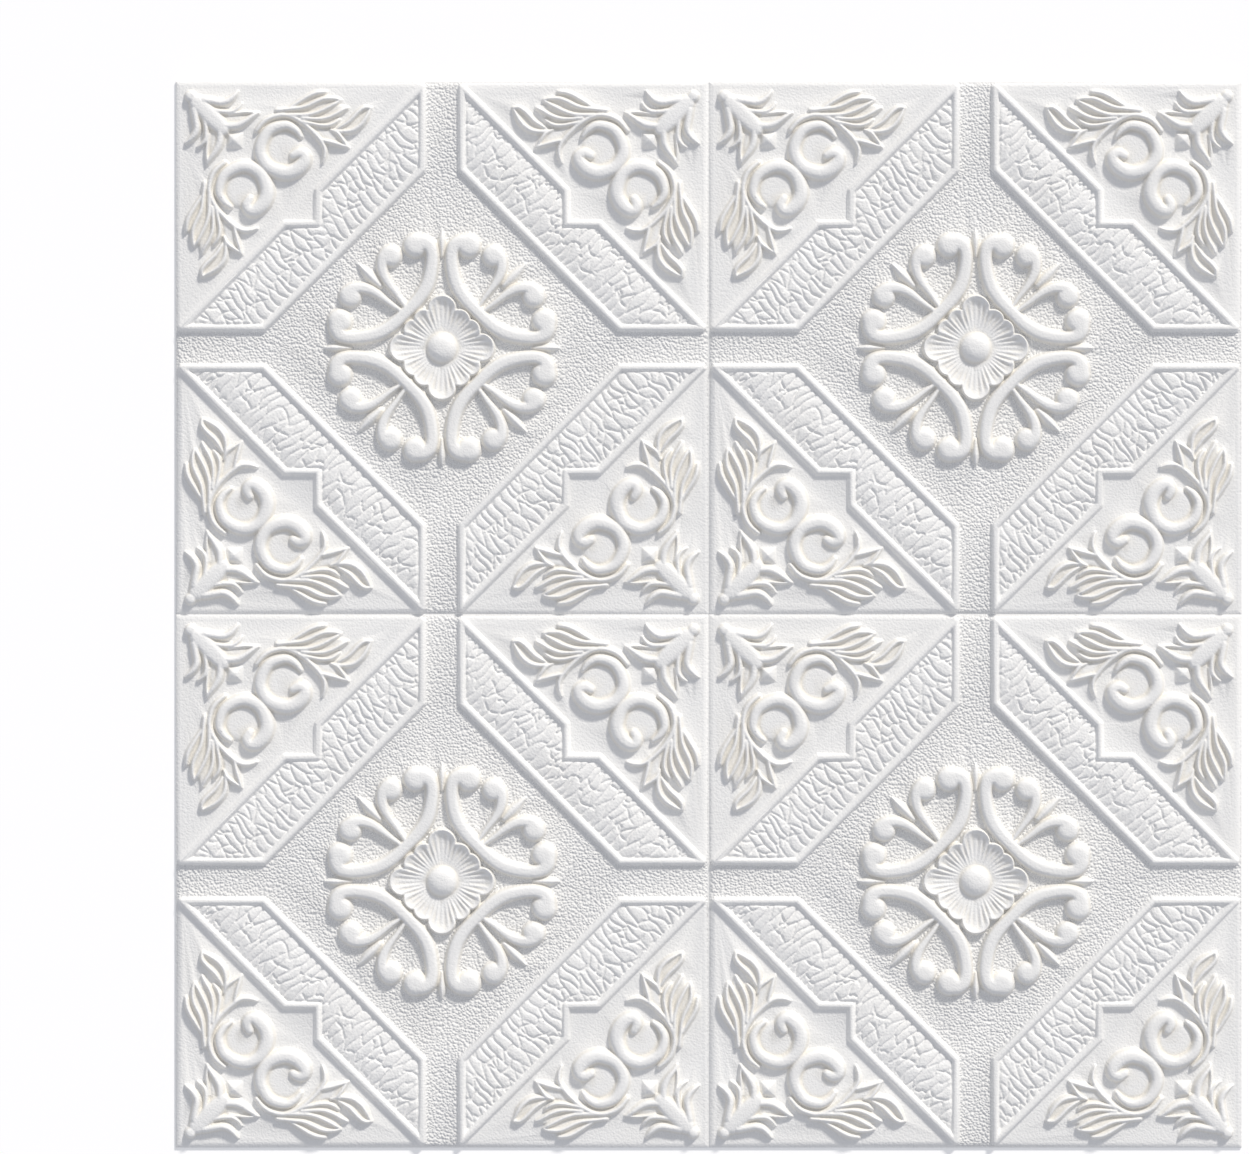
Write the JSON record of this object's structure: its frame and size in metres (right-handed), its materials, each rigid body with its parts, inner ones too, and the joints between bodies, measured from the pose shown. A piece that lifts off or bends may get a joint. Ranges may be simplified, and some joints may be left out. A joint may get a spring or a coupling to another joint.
{
  "type": "embossed foam wall panel",
  "caption": "Thin square panel of white moulded foam, embossed with framed tiles, rosettes and scrolled leaf corners, stuck flat to a wall as a decorative lining.",
  "frame": {"origin": "centre of the flat back face", "axes": "+Z out of the decorated face, +Y up the panel as it hangs, X across it"},
  "size_m": [0.7, 0.7, 0.008],
  "materials": {
    "white_foam": "matte"
  },
  "bodies": {
    "root": {"foam_panel": "white_foam"}
  },
  "joints": []
}
